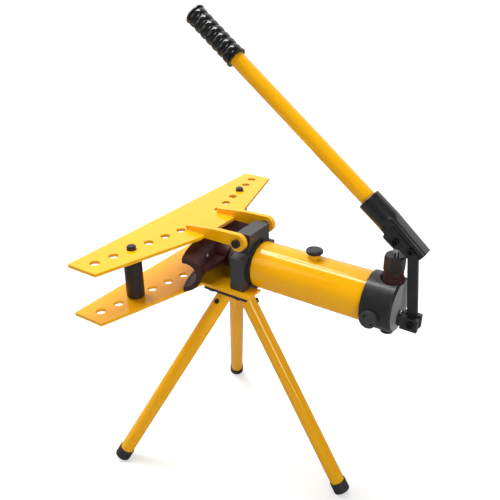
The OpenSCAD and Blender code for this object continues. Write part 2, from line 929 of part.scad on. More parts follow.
module return_spring() {
    points = [for (i = [0 : spring_rings], k = [0 : spring_sides - 1]) spring_point(i, k)];
    last = spring_rings;
    faces = concat(
        [for (i = [0 : spring_rings - 1], k = [0 : spring_sides - 1])
            [spring_index(i, k), spring_index(i + 1, k + 1), spring_index(i, k + 1)]],
        [for (i = [0 : spring_rings - 1], k = [0 : spring_sides - 1])
            [spring_index(i, k), spring_index(i + 1, k), spring_index(i + 1, k + 1)]],
        [for (k = [1 : spring_sides - 2]) [0, k, k + 1]],
        [for (k = [1 : spring_sides - 2])
            [spring_index(last, 0), spring_index(last, k + 1), spring_index(last, k)]]
    );
    color(steel) bench() polyhedron(points = points, faces = faces);
}

module former_rim() {
    rotate([0, 0, 180 - former_half]) rotate_extrude(angle = 2 * former_half) children();
}

module former() {
    half = former_h / 2;
    web_r = former_r - (rim_depth + groove_r) / 2;
    end_x = former_d - former_front;
    back_x = web_deep - former_front;
    end_y = former_r * sin(former_half);
    outer = [for (a = [90 : 15 : 270]) [former_r + rim_depth * cos(a), half * sin(a)]];
    inner = [for (a = [270 : -15 : 90]) [former_r + groove_r * cos(a), groove_r * sin(a)]];
    color(maroon) bench() difference() {
        union() {
            translate([former_x, 0, 0]) former_rim() polygon(concat(outer, inner));
            intersection() {
                translate([former_x, 0, -former_web / 2]) cylinder(h = former_web, r = web_r);
                translate([0, 0, -former_web]) linear_extrude(2 * former_web) polygon([
                    [-former_front, -end_y],
                    [end_x, -end_y],
                    [back_x, -web_flat],
                    [back_x, web_flat],
                    [end_x, end_y],
                    [-former_front, end_y]
                ]);
            }
            x_bar((rim_depth + groove_r) / 2 - former_front, rod_front, hub_d);
        }
        x_bar(rod_front - pilot_l - face_c, big, pilot_d + 2 * fit_c);
        both_sides() translate([0, core_y, core_z]) x_bar(-former_front - 1, 0, core_d);
    }
}

module roller(side) {
    low = -lower_gap + face_c;
    high = upper_gap - face_c;
    top = upper_top + spigot_up;
    spigot_r = spigot_d / 2;
    r = roller_d / 2;
    color(black) bench() translate([roller_x, side * roller_y, 0]) rotate_extrude() polygon([
        [0, lower_z],
        [spigot_r - spigot_bevel, lower_z],
        [spigot_r, lower_z + spigot_bevel],
        [spigot_r, low],
        [r - roller_bevel, low],
        [r, low + roller_bevel],
        [r, high - roller_bevel],
        [r - roller_bevel, high],
        [spigot_r, high],
        [spigot_r, top - spigot_bevel],
        [spigot_r - spigot_bevel, top],
        [0, top]
    ]);
}

module roller_left() {
    roller(-1);
}

module roller_right() {
    roller(1);
}

module pump_head() {
    r = head_d / 2;
    spigot_r = tank_d / 2 - tank_wall - fit_c;
    color(black) bench() difference() {
        x_turned() polygon([
            [0, head_x - head_spigot],
            [spigot_r, head_x - head_spigot],
            [spigot_r, head_x],
            [r, head_x],
            [r, head_end - head_bevel],
            [r - head_bevel, head_end],
            [0, head_end]
        ]);
        x_bar(0, cyl_end, cyl_od + 2 * fit_c);
        translate([pump_x, 0, pump_seat]) cylinder(h = big, d = barrel_hex + 2);
        translate([pump_x, 0, barrel_low]) cylinder(h = big, d = thread_d + 2 * fit_c);
        translate([valve_x, 0, -valve_top - big]) cylinder(h = big, d = valve_d);
        translate([pump_x, 0, -valve_top - 1]) cylinder(h = big, d = oil_d);
        x_bar(cyl_end - 1, pump_x, drill_d);
        x_bar(cyl_end - 1, cyl_end + ball_d + 1, ball_d + 1);
        translate([0, 0, valve_d / 2 + oil_d - head_d / 2]) x_bar(0, valve_x, oil_d);
        translate([head_x + release_x, 0, -release_drop]) {
            y_bar(-big, -release_seat, release_d);
            y_bar(-release_seat - 1, oil_d, oil_d);
            cylinder(h = release_drop, d = drill_d);
        }
        translate([0, 0, -pin_low_z]) x_bar(head_end - stud_l, big, stud_d + 2 * fit_c);
    }
}

module pump_barrel() {
    color(maroon) bench() translate([pump_x, 0, 0]) difference() {
        union() {
            translate([0, 0, pump_seat]) cylinder(h = flange_h, d = barrel_hex, $fn = 6);
            translate([0, 0, pump_seat]) cylinder(h = barrel_h, d = collar_d);
            translate([0, 0, barrel_low]) cylinder(h = barrel_depth + 1, d = thread_d);
        }
        cylinder(h = big, d = plunger_d + 2 * run_c);
        translate([0, 0, gland_low - packing_h]) cylinder(h = big, d = barrel_bore());
    }
}

// The bore that the packing and the gland's thread share
function barrel_bore() = thread_d + 2 * fit_c;

module plunger_packing() {
    color(rubber) bench() translate([pump_x, 0, gland_low - packing_h]) difference() {
        cylinder(h = packing_h, d = thread_d);
        translate([0, 0, -1]) cylinder(h = big, d = plunger_d + 2 * run_c);
    }
}

module pump_gland() {
    top_r = gland_hex / 2 - gland_bevel;
    high = barrel_top + gland_h;
    color(maroon) bench() translate([pump_x, 0, 0]) difference() {
        union() {
            intersection() {
                translate([0, 0, barrel_top]) rotate([0, 0, 30]) cylinder(h = gland_h, d = gland_hex, $fn = 6);
                rotate_extrude() polygon([
                    [0, barrel_top],
                    [gland_hex / 2, barrel_top],
                    [gland_hex / 2, high - gland_bevel],
                    [top_r, high],
                    [0, high]
                ]);
            }
            translate([0, 0, gland_low]) cylinder(h = gland_depth + 1, d = thread_d);
        }
        cylinder(h = big, d = plunger_d + 2 * run_c);
    }
}

module plunger() {
    slot_r = pin_d / 2 + eye_room;
    color(steel) bench() translate([pump_x, 0, 0]) difference() {
        union() {
            translate([0, 0, plunger_low]) cylinder(h = plunger_z - plunger_low, d = plunger_d);
            translate([0, 0, plunger_z]) y_bar(-eye_t / 2, eye_t / 2, eye_d);
        }
        translate([0, 0, plunger_z]) {
            translate([-eye_slot / 2, 0, 0]) y_bar(-big, big, 2 * slot_r);
            translate([eye_slot / 2, 0, 0]) y_bar(-big, big, 2 * slot_r);
            translate([-eye_slot / 2, -big / 2, -slot_r]) cube([eye_slot, big, 2 * slot_r]);
        }
    }
}

module valve_balls() {
    color(steel) bench() {
        translate([valve_x, 0, -valve_top - ball_d / 2]) sphere(d = ball_d);
        translate([cyl_end + ball_d / 2 + 1 - fit_c, 0, 0]) sphere(d = ball_d);
    }
}

module drain_plug() {
    color(black) bench() translate([valve_x, 0, -head_d / 2]) {
        translate([0, 0, -plug_h]) cylinder(h = plug_h, d = plug_d);
        difference() {
            cylinder(h = plug_l, d = valve_d - 2 * fit_c);
            translate([0, 0, plug_l - 2]) cylinder(h = big, d = ball_d);
        }
    }
}

module release_knob() {
    color(black) bench() translate([head_x + release_x, 0, -release_drop]) difference() {
        translate([0, -head_d / 2 - face_c - knob_t, 0]) y_bar(0, knob_t, knob_d);
        y_bar(-head_d / 2 - face_c - knob_t / 2 - fit_c, 0, release_d - 2 * run_c + 2 * fit_c);
        for (side = [-1, 1]) rotate([0, 45, 0]) translate([side * knob_pitch / 2, 0, 0])
            y_bar(-big, -head_d / 2 - knob_t / 2, knob_hole);
    }
}

module release_spindle() {
    outer_y = -head_d / 2 - face_c - knob_t / 2;
    inner_y = release_ball_y - release_ball_d / 2 - face_c;
    color(steel) bench() translate([head_x + release_x, 0, -release_drop])
        y_bar(outer_y, inner_y, release_d - 2 * run_c);
}

module release_ball() {
    color(steel) bench() translate([head_x + release_x, release_ball_y, -release_drop])
        sphere(d = release_ball_d);
}

module clevis() {
    color(black) bench() translate([0, 0, -pin_low_z]) difference() {
        union() {
            translate([clevis_x, -fork_out, -clevis_h / 2])
                cube([clevis_back - clevis_x, 2 * fork_out, clevis_h]);
            x_bar(head_end - stud_l, clevis_x + 1, stud_d);
        }
        translate([clevis_x + bridge_t, -fork_gap, -clevis_h]) cube([big, 2 * fork_gap, 2 * clevis_h]);
        translate([pin_low_at[0], 0, 0]) y_bar(-big, big, pin_d);
    }
}

module clevis_nut() {
    color(black) bench() translate([head_end, 0, -pin_low_z]) difference() {
        rotate([0, 90, 0]) cylinder(h = nut_t, d = nut_hex, $fn = 6);
        x_bar(-1, big, stud_d + 2 * fit_c);
    }
}

module link() {
    low = [pin_low_at[0], 0, pin_low_at[1]];
    color(black) bench() translate(low) rotate([0, link_lean, 0]) difference() {
        union() {
            y_bar(-link_t / 2, link_t / 2, link_w);
            translate([0, 0, link_l]) y_bar(-link_t / 2, link_t / 2, link_w);
            translate([-link_w / 2, -link_t / 2, 0]) cube([link_w, link_t, link_l]);
        }
        y_bar(-big, big, pin_d);
        translate([0, 0, link_l]) y_bar(-big, big, pin_d);
    }
}

module clevis_pin() {
    color(steel) bench() headed_pin(pin_low_at, fork_out);
}

module link_pin() {
    color(steel) bench() headed_pin(pin_up_at, channel_out);
}

module plunger_pin() {
    color(steel) bench() headed_pin([pump_x, plunger_z], channel_out);
}

// Height of the channel's web over the upper pin, rising from the channel's end to the socket's mouth
function web_at(s) =
    web_p + (s + channel_end) * (handle_off + socket_d / 2 - web_p) / (socket_l + channel_end);

module handle_socket() {
    neck_s = socket_floor - socket_wall;
    full_s = press_s + socket_wall;
    chin = plunger_p - eye_d / 2 + 2;
    step = chin + 6;
    skin = 0.1;
    color(black) bench() on_handle() difference() {
        union() {
            translate([0, 0, handle_off]) x_bar(neck_s, socket_l, socket_d);
            hull() {
                translate([0, 0, handle_off]) x_bar(neck_s, neck_s + 1, socket_d - 2 * skin, $fn = 32);
                side_plate(skin - channel_out, channel_out - skin) polygon([
                    [press_s, step + skin],
                    [press_s + 1, step + skin],
                    [press_s + 1, web_at(press_s) - skin],
                    [press_s, web_at(press_s) - skin]
                ]);
            }
            difference() {
                side_plate(-channel_out, channel_out) polygon([
                    [full_s, web_at(full_s)],
                    [-channel_end, web_p],
                    [-channel_end, -pin_d / 2 - 1.5],
                    [-pin_d / 2, step],
                    [plunger_s / 2, step],
                    [plunger_s - pin_d / 2 - 1.5, chin],
                    [press_s - 4, chin],
                    [press_s, step],
                    [full_s, step]
                ]);
                side_plate(-channel_in, channel_in) polygon([
                    [press_s - skin, web_at(press_s) - web_t],
                    [-big, web_at(-big) - web_t],
                    [-big, -big],
                    [press_s - skin, -big]
                ]);
            }
        }
        translate([0, 0, handle_off]) x_bar(socket_floor, big, handle_d + 2 * fit_c);
        y_bar(-big, big, pin_d);
        translate([plunger_s, 0, plunger_p]) y_bar(-big, big, pin_d);
    }
}

module handle_tube() {
    color(yellow) bench() on_handle() translate([0, 0, handle_off]) difference() {
        x_bar(socket_floor + fit_c, tube_end, handle_d);
        x_bar(0, tube_end - handle_wall, handle_d - 2 * handle_wall);
    }
}

module handle_grip() {
    beads_l = grip_l - 2 * flange_l;
    pitch = beads_l / grip_n;
    swell = (grip_d - grip_neck) / 4;
    steps = 8;
    beads = [for (i = [0 : grip_n * steps]) [
        grip_neck / 2 + swell * (1 - cos(360 * i / steps)),
        grip_s + flange_l + pitch * i / steps
    ]];
    flange_r = grip_flange / 2;
    color(rubber) bench() on_handle() translate([0, 0, handle_off]) difference() {
        x_turned() polygon(concat(
            [[0, grip_s], [flange_r, grip_s], [flange_r, grip_s + flange_l]],
            beads,
            [[flange_r, handle_l - flange_l], [flange_r, handle_l], [0, handle_l]]
        ));
        x_bar(0, tube_end + fit_c, handle_d + 2 * fit_c);
    }
}

tripod_plate();
leg_stubs();
leg_rear();
leg_left();
leg_right();
foot_rear();
foot_left();
foot_right();
leg_screws();
base_bolts();
lower_wing();
block();
lock_ring();
tank_tube();
filler_neck();
filler_cap();
work_cylinder();
cylinder_seals();
rod_guide();
rod_wiper();
ram_rod();
piston();
piston_seal();
return_spring();
former();
upper_wing();
hinge_lugs();
hinge_bolts();
roller_left();
roller_right();
pump_head();
pump_barrel();
pump_gland();
plunger_packing();
plunger();
valve_balls();
drain_plug();
release_knob();
release_spindle();
release_ball();
clevis();
clevis_nut();
link();
clevis_pin();
link_pin();
plunger_pin();
handle_socket();
handle_tube();
handle_grip();
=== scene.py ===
"""Hydraulic pipe bender: finishes, small details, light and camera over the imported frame."""

import json
import random
from math import cos, pi, radians, sin, sqrt

import bpy
from mathutils import Matrix, Vector


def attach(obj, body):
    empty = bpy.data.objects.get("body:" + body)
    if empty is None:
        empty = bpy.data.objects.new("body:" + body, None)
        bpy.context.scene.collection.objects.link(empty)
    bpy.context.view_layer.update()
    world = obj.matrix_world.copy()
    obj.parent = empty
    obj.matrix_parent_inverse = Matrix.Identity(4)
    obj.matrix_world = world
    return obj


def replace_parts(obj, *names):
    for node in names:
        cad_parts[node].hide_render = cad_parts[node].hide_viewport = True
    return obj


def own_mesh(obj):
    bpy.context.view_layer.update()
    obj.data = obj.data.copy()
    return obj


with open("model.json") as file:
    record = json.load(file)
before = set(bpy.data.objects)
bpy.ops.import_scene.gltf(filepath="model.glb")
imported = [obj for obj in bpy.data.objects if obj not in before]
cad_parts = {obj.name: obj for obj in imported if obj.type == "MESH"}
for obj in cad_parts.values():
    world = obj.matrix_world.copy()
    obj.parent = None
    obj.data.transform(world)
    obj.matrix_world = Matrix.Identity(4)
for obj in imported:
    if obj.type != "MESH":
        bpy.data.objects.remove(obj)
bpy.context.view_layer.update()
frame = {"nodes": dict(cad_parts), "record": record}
nodes = frame["nodes"]
rng = random.Random(7)

# Places of the bench frame (x from the block's front face, z from the ram axis) in the row frame, from mm to m
BENCH_X = -57.072
AXIS_H = 480.0
HINGE_X, HINGE_Z = 14.5, 59.7
LOWER_WING_TOP, UPPER_WING_TOP = -38.7, 57.5
TANK_R, FILLER_X, HEAD_FACE_X = 44.45, 144.0, 307.5


def bench(x, y, z):
    """A point of the bench frame in the row frame."""
    return Vector(((x + BENCH_X) / 1000, y / 1000, (z + AXIS_H) / 1000))


# The handle's own frame: s along the handle from the link's upper pin, p square to it, upwards
PIN_UP = (317.0, 108.0)
HANDLE_UP = radians(37.6)
HANDLE_OFF = 3.6


def on_handle(s, y, p):
    """A point of the handle's own frame in the row frame."""
    x = PIN_UP[0] - s * cos(HANDLE_UP) + p * sin(HANDLE_UP)
    z = PIN_UP[1] + s * sin(HANDLE_UP) + p * cos(HANDLE_UP)
    return bench(x, y, z)


# Materials


class Surface:
    """One procedural finish: clouded colour, uneven gloss and a fine grain in the normal."""

    def __init__(self, name, dark, light, rough, metallic=0.0, coat=0.0, cloud=16.0, grain=700.0, bump=0.05,
                 spread=0.08, stretch=(1.0, 1.0, 1.0), lacquer=None):
        self.material = bpy.data.materials.new(name)
        self.material.use_nodes = True
        self.tree = self.material.node_tree
        self.shader = self.tree.nodes["Principled BSDF"]
        self.shader.inputs["Metallic"].default_value = metallic
        self.shader.inputs["Coat Weight"].default_value = coat
        self.shader.inputs["Coat Roughness"].default_value = 0.06
        self.place = self.add("ShaderNodeTexCoord")
        mapping = self.add("ShaderNodeMapping")
        mapping.inputs["Scale"].default_value = stretch
        self.link(self.place.outputs["Object"], mapping.inputs["Vector"])
        self.where = mapping.outputs["Vector"]
        clouds = self.noise(cloud, 4.0)
        self.colour = self.ramp(clouds, 0.3, dark, 0.7, light)
        self.link(self.colour, self.shader.inputs["Base Color"])
        fine = self.noise(grain, 3.0)
        self.rough = self.span(self.noise(cloud * 3.1, 5.0), 0.3, 0.7, rough - spread / 2, rough + spread / 2)
        self.link(self.rough, self.shader.inputs["Roughness"])
        if lacquer is not None:
            self.shader.inputs["Specular IOR Level"].default_value = 0.0
            self.link(self.span(self.noise(cloud * 2.3, 4.0), 0.3, 0.7, lacquer * 0.7, lacquer * 1.3),
                      self.shader.inputs["Coat Roughness"])
        self.bump = self.add("ShaderNodeBump")
        self.bump.inputs["Strength"].default_value = bump
        self.bump.inputs["Distance"].default_value = 0.0006
        self.link(fine, self.bump.inputs["Height"])
        self.link(self.bump.outputs["Normal"], self.shader.inputs["Normal"])

    def add(self, kind):
        return self.tree.nodes.new(kind)

    def link(self, a, b):
        self.tree.links.new(a, b)

    def noise(self, scale, detail):
        n = self.add("ShaderNodeTexNoise")
        n.inputs["Scale"].default_value = scale
        n.inputs["Detail"].default_value = detail
        self.link(self.where, n.inputs["Vector"])
        return n.outputs["Fac"]

    def ramp(self, value, low, dark, high, light):
        r = self.add("ShaderNodeValToRGB")
        r.color_ramp.elements[0].position = low
        r.color_ramp.elements[0].color = (*dark, 1.0)
        r.color_ramp.elements[1].position = high
        r.color_ramp.elements[1].color = (*light, 1.0)
        self.link(value, r.inputs["Fac"])
        return r.outputs["Color"]

    def span(self, value, a, b, low, high):
        m = self.add("ShaderNodeMapRange")
        m.inputs["From Min"].default_value = a
        m.inputs["From Max"].default_value = b
        m.inputs["To Min"].default_value = low
        m.inputs["To Max"].default_value = high
        self.link(value, m.inputs["Value"])
        return m.outputs["Result"]

    def math(self, kind, a, b):
        m = self.add("ShaderNodeMath")
        m.operation = kind
        for k, v in enumerate((a, b)):
            if isinstance(v, float):
                m.inputs[k].default_value = v
            else:
                self.link(v, m.inputs[k])
        return m.outputs["Value"]


yellow = Surface("yellow_enamel", (0.93, 0.43, 0.001), (0.97, 0.465, 0.003), 0.40, coat=1.0, bump=0.02,
                 lacquer=0.11)
black = Surface("black_enamel", (0.014, 0.014, 0.015), (0.024, 0.024, 0.026), 0.36, coat=0.10, bump=0.10)
head = Surface("head_enamel", (0.012, 0.012, 0.013), (0.019, 0.019, 0.02), 0.36, coat=0.15, grain=420.0, bump=0.16)
brown = Surface("former_primer", (0.036, 0.010, 0.010), (0.058, 0.017, 0.017), 0.46, grain=360.0, bump=0.20)
brown.shader.inputs["Specular IOR Level"].default_value = 0.32
oxide = Surface("black_oxide", (0.016, 0.014, 0.014), (0.034, 0.029, 0.028), 0.36, metallic=0.35, bump=0.10)
bright = Surface("ground_steel", (0.52, 0.52, 0.54), (0.66, 0.66, 0.68), 0.24, metallic=1.0, grain=240.0, bump=0.08,
                 stretch=(6.0, 6.0, 0.6))
block = Surface("block_enamel", (0.030, 0.030, 0.032), (0.044, 0.044, 0.047), 0.34, coat=0.2, grain=420.0, bump=0.14)
socket = Surface("socket_enamel", (0.009, 0.009, 0.009), (0.016, 0.016, 0.017), 0.28, coat=0.25, bump=0.06)
pin = Surface("pin_black", (0.003, 0.003, 0.003), (0.006, 0.006, 0.006), 0.50, bump=0.04)
pin.shader.inputs["Specular IOR Level"].default_value = 0.10
rubber = Surface("foot_rubber", (0.018, 0.018, 0.019), (0.028, 0.028, 0.03), 0.58, grain=900.0, bump=0.20)
grip = Surface("grip_rubber", (0.006, 0.006, 0.006), (0.010, 0.010, 0.011), 0.14, coat=0.4, bump=0.03, spread=0.05)
plastic = Surface("cap_plastic", (0.010, 0.010, 0.011), (0.016, 0.016, 0.017), 0.30, bump=0.06)
bronze = Surface("bush_bronze", (0.36, 0.20, 0.07), (0.46, 0.28, 0.10), 0.32, metallic=1.0, bump=0.08)


def turned_end(surface, x, across):
    """The bare turned ring on the head's end face: a grey patch with fine circular tool marks."""
    s = surface
    apart = s.add("ShaderNodeSeparateXYZ")
    s.link(s.place.outputs["Object"], apart.inputs["Vector"])
    facing = s.add("ShaderNodeSeparateXYZ")
    s.link(s.place.outputs["Normal"], facing.inputs["Vector"])
    mask = s.math("MULTIPLY", s.math("GREATER_THAN", facing.outputs["X"], 0.9),
                  s.math("GREATER_THAN", apart.outputs["X"], x))
    up = s.math("SUBTRACT", apart.outputs["Z"], AXIS_H / 1000)
    radius = s.math("SQRT", s.math("ADD", s.math("MULTIPLY", up, up),
                                   s.math("MULTIPLY", apart.outputs["Y"], apart.outputs["Y"])), 0.0)
    marks = s.add("ShaderNodeTexNoise")
    marks.noise_dimensions = "1D"
    marks.inputs["Scale"].default_value = 1800.0
    s.link(radius, marks.inputs["W"])
    grey = s.ramp(marks.outputs["Fac"], 0.25, (0.20, 0.20, 0.205), 0.75, (0.36, 0.36, 0.37))
    mix = s.add("ShaderNodeMix")
    mix.data_type = "RGBA"
    s.link(s.math("MULTIPLY", mask, s.math("LESS_THAN", radius, across)), mix.inputs["Factor"])
    s.link(s.colour, mix.inputs["A"])
    s.link(grey, mix.inputs["B"])
    s.link(mix.outputs["Result"], s.shader.inputs["Base Color"])


turned_end(head, bench(HEAD_FACE_X, 0, 0).x, 0.0446)

finish_of = {
    "yellow_paint": yellow, "black_paint": black, "head_casting": head, "brown_casting": brown,
    "oxide_steel": oxide, "bright_steel": bright, "rubber": rubber, "grip_rubber": grip, "cap_plastic": plastic,
    "bronze": bronze,
}
for part in frame["record"]["subparts"]:
    node = nodes[part["node"]]
    node.data.materials.clear()
    node.data.materials.append(finish_of[part["material_slot"]].material)
nodes["block"].data.materials[0] = block.material
nodes["release_knob"].data.materials[0] = block.material
for name in ("clevis_pin", "link_pin", "plunger_pin"):
    nodes[name].data.materials[0] = pin.material

# Broken edges on the plates, castings and machined pieces
edge_mm = {
    "lower_wing": 0.9, "upper_wing": 0.9, "hinge_lugs": 1.2, "block": 1.6, "tripod_plate": 0.6, "lock_ring": 0.5,
    "pump_head": 0.8, "pump_barrel": 0.6, "pump_gland": 0.6, "clevis": 2.0, "clevis_nut": 0.6, "link": 0.7,
    "base_bolts": 0.4, "hinge_bolts": 0.8, "leg_screws": 0.4, "release_knob": 0.9, "drain_plug": 0.6,
    "former": 0.7, "roller_left": 0.5, "roller_right": 0.5, "foot_rear": 0.8, "foot_left": 0.8, "foot_right": 0.8,
}
for name, width in edge_mm.items():
    m = nodes[name].modifiers.new("broken_edge", "BEVEL")
    m.width = width / 1000
    m.segments = 3
    m.limit_method = "ANGLE"
    m.angle_limit = radians(42)
    m.harden_normals = True


# Pieces in mesh code


def piece(name, points, faces, body, surface, crease=38.0):
    """A new piece that moves with a body; edges sharper than the crease angle stay sharp."""
    mesh = bpy.data.meshes.new(name)
    mesh.from_pydata([tuple(p) for p in points], [], faces)
    mesh.validate()
    mesh.shade_smooth()
    mesh.set_sharp_from_angle(angle=radians(crease))
    mesh.materials.append(surface.material)
    obj = bpy.data.objects.new(name, mesh)
    bpy.context.scene.collection.objects.link(obj)
    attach(obj, body)
    return obj


def skin(rings, closed=False):
    """Points and faces of a skin over rings of equal length; the ends are capped unless it closes on itself."""
    n = len(rings[0])
    points = [p for ring in rings for p in ring]
    faces = []
    spans = len(rings) if closed else len(rings) - 1
    for i in range(spans):
        a, b = i * n, (i + 1) % len(rings) * n
        for k in range(n):
            q = (k + 1) % n
            faces.append((a + k, b + k, b + q, a + q))
    if not closed:
        faces.append(tuple(range(n)))
        faces.append(tuple((len(rings) - 1) * n + k for k in reversed(range(n))))
    return points, faces


def join(parts):
    """Several skins as one."""
    points, faces = [], []
    for p, f in parts:
        base = len(points)
        points += p
        faces += [tuple(k + base for k in face) for face in f]
    return points, faces


def lathe(profile, place, steps=72):
    """A turned skin; profile is (s, r) pairs and place(s, a, b) gives the point at s with offsets a and b."""
    turns = [2 * pi * k / steps for k in range(steps)]
    return skin([[place(s, r * cos(t), r * sin(t)) for t in turns] for s, r in profile])


def bead(path, width, steps=8, wobble=0.18):
    """A weld bead of uneven thickness along a path of points."""
    rings = []
    for i, at in enumerate(path):
        ahead = (path[min(i + 1, len(path) - 1)] - path[max(i - 1, 0)]).normalized()
        side = ahead.orthogonal().normalized()
        over = ahead.cross(side)
        r = width / 2 * (1 + wobble * sin(i * 2.1) + 0.08 * rng.uniform(-1, 1))
        if i in (0, len(path) - 1):
            r *= 0.4
        rings.append([at + r * (cos(2 * pi * k / steps) * side + sin(2 * pi * k / steps) * over)
                      for k in range(steps)])
    return skin(rings)


def straight(a, b, step=0.0022):
    """Points of a straight path."""
    n = max(2, int((b - a).length / step))
    return [a.lerp(b, i / n) for i in range(n + 1)]


# Rubber grip: seven soft beads between two flanges
GRIP_S, GRIP_END = 426.0, 535.0  # ends of the grip along the handle
FLANGE_L, FLANGE_R = 4.5, 19.0
BEADS, BEAD_STEPS, BEAD_R, BEAD_H = 7, 12, 15.6, 2.5  # number, points, foot radius and height of the beads
CAP_ROUND, CAP_STEPS = 3.8, 8  # rounding of the closed end
profile = [(GRIP_S + 0.2, 13.6), (GRIP_S, 18.2), (GRIP_S + 0.8, FLANGE_R), (GRIP_S + FLANGE_L - 0.8, FLANGE_R),
           (GRIP_S + FLANGE_L, 18.3)]
pitch = (GRIP_END - GRIP_S - 2 * FLANGE_L) / BEADS
for i in range(BEADS):
    for k in range(BEAD_STEPS + 1):
        t = k / BEAD_STEPS
        s = GRIP_S + FLANGE_L + pitch * (i + 0.06 + 0.88 * t)
        profile.append((s, BEAD_R + BEAD_H * sqrt(max(0.0, 1 - (2 * t - 1) ** 2))))
cap = GRIP_END - FLANGE_L
profile += [(cap, 18.2), (cap + 0.7, 18.9)]
for k in range(CAP_STEPS + 1):
    a = pi / 2 * k / CAP_STEPS
    profile.append((cap + 0.7 + CAP_ROUND * sin(a), 15.1 + CAP_ROUND * cos(a)))
profile.append((GRIP_END, 1.0))
points, faces = lathe(profile, lambda s, a, b: on_handle(s, a, HANDLE_OFF + b))
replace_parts(piece("grip_skin", points, faces, "handle", grip, 32.0), "handle_grip")

# Handle socket: a tube whose sides are pressed flat into ears, with a rounded back left along them
SOCKET_R, SOCKET_L = 19.6, 107.0  # outer radius of the round mouth, and its place along the handle
CHANNEL_END = 18.5  # reach of the ears behind the link's upper pin
WEB_P, WEB_T = 15.5, 4.5  # height of the back at the end of the ears, and its wall
EAR_OUT, EAR_IN = 12.0, 8.0  # outer and inner faces of the ears
PRESS_S, ROUND_S = 48.0, 64.0  # where the pressed form starts to open, and where the tube is round
STEP_P, PRESSED_P = -13.4, 2.0  # foot and middle of the pressed tube
AROUND, TUBE_RINGS, RING_STEP = 144, 64, 0.9  # points round the tube, its rings and their spacing
CREASE_SHADE_FACES = (2, 3, 25, 26)  # faces of the channel's outline that lie in the crease; they carry painted shade in the near-black matte pin finish
EAR_LINE = (
    (-18.5, -5.5), (-18.0, -5.9), (-14.0, -8.0), (-9.0, -11.2), (-4.0, -13.2), (0.0, -13.4), (8.0, -13.4),
    (13.5, -13.4), (17.5, -16.2), (21.5, -19.2), (26.0, -19.4), (36.0, -19.4), (45.0, -19.4), (46.5, -18.4),
    (48.0, -14.2), (49.2, -13.4), (50.4, -13.4),
)  # lower edge of the ears, as places along the handle and heights


def back_at(s):
    """Height of the rounded back at s."""
    return WEB_P + (s + CHANNEL_END) * (HANDLE_OFF + SOCKET_R - WEB_P) / (SOCKET_L + CHANNEL_END)


def flank(s, low):
    """One outer side of the pressed tube at s, from the foot of the ear over the crease to the rounded back."""
    high, r = back_at(s), 6.0
    side = [(EAR_OUT - 0.8, low), (EAR_OUT, low + 0.8), (EAR_OUT, high - 11.8), (EAR_OUT + 1.3, high - 10.4)]
    return side + [(8.6 + r * cos(t), high - r + r * sin(t)) for t in [radians(-30 + 12 * k) for k in range(11)]]


def reach(outline, centre, angle):
    """Distance from a centre to an outline in one direction."""
    c, d = cos(angle), sin(angle)
    best = 0.0
    for (y0, p0), (y1, p1) in zip(outline, outline[1:] + outline[:1]):
        ey, ep = y1 - y0, p1 - p0
        det = ey * d - ep * c
        if abs(det) < 1e-9:
            continue
        ty, tp = y0, p0 - centre
        along = (ey * tp - ep * ty) / det
        part = (c * tp - d * ty) / det
        if along > 0 and -1e-6 <= part <= 1 + 1e-6:
            best = max(best, along)
    return best


def pressed(s):
    """Outline of the tube at s: round at the mouth, ears and a rounded back where it is pressed."""
    t = min(1.0, max(0.0, (s - PRESS_S) / (ROUND_S - PRESS_S)))
    t = t * t * (3 - 2 * t)
    right = flank(s, STEP_P)
    outline = right + [(-y, p) for y, p in reversed(right)]
    centre = PRESSED_P * (1 - t) + HANDLE_OFF * t
    ring = []
    for k in range(AROUND):
        angle = 2 * pi * k / AROUND
        r = reach(outline, PRESSED_P, angle) * (1 - t) + SOCKET_R * t
        ring.append(on_handle(s, r * cos(angle), centre + r * sin(angle)))
    return ring


def channel(s, low):
    """Outline of the channel at s: two ears under the rounded back."""
    high = back_at(s)
    right = flank(s, low)
    inner = [(EAR_IN, low + 0.4), (EAR_IN, high - WEB_T - 1.0), (EAR_IN - 1.0, high - WEB_T)]
    left = [(-y, p) for y, p in reversed(right)]
    back = [(-y, p) for y, p in inner] + [(y, p) for y, p in reversed(inner)]
    return [on_handle(s, y, p) for y, p in right + left + back]


turns = [2 * pi * k / AROUND for k in range(AROUND)]
mouth = [[on_handle(s, r * cos(t), HANDLE_OFF + r * sin(t)) for t in turns]
         for s, r in ((SOCKET_L - 0.8, SOCKET_R), (SOCKET_L, SOCKET_R - 0.8), (SOCKET_L, 14.2), (SOCKET_L - 0.7, 13.5),
                      (SOCKET_L - 6.0, 13.5))]
tube = skin([pressed(PRESS_S + RING_STEP * k) for k in range(TUBE_RINGS)] + mouth)
ears = skin([channel(s, low) for s, low in EAR_LINE])
points, faces = join([tube, ears])
socket_skin = piece("socket_skin", points, faces, "handle", socket, 34.0)
# Painted shade: the crease faces between the ears and the rounded back take the near-black matte pin finish, a dark
# line where the crease is in shade
socket_skin.data.materials.append(pin.material)
loop = len(channel(0.0, STEP_P))
for k in range(len(tube[1]), len(faces) - 2):
    if (k - len(tube[1])) % loop in CREASE_SHADE_FACES:
        socket_skin.data.polygons[k].material_index = 1
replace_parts(socket_skin, "handle_socket")

# Collar round the ram in front of the block
points, faces = lathe([(-7.6, 25.0), (-7.6, 29.6), (-21.0, 29.6), (-23.4, 28.6), (-24.0, 27.0), (-24.0, 25.0)],
                      bench)
piece("nose_collar", points, faces, "frame", block)

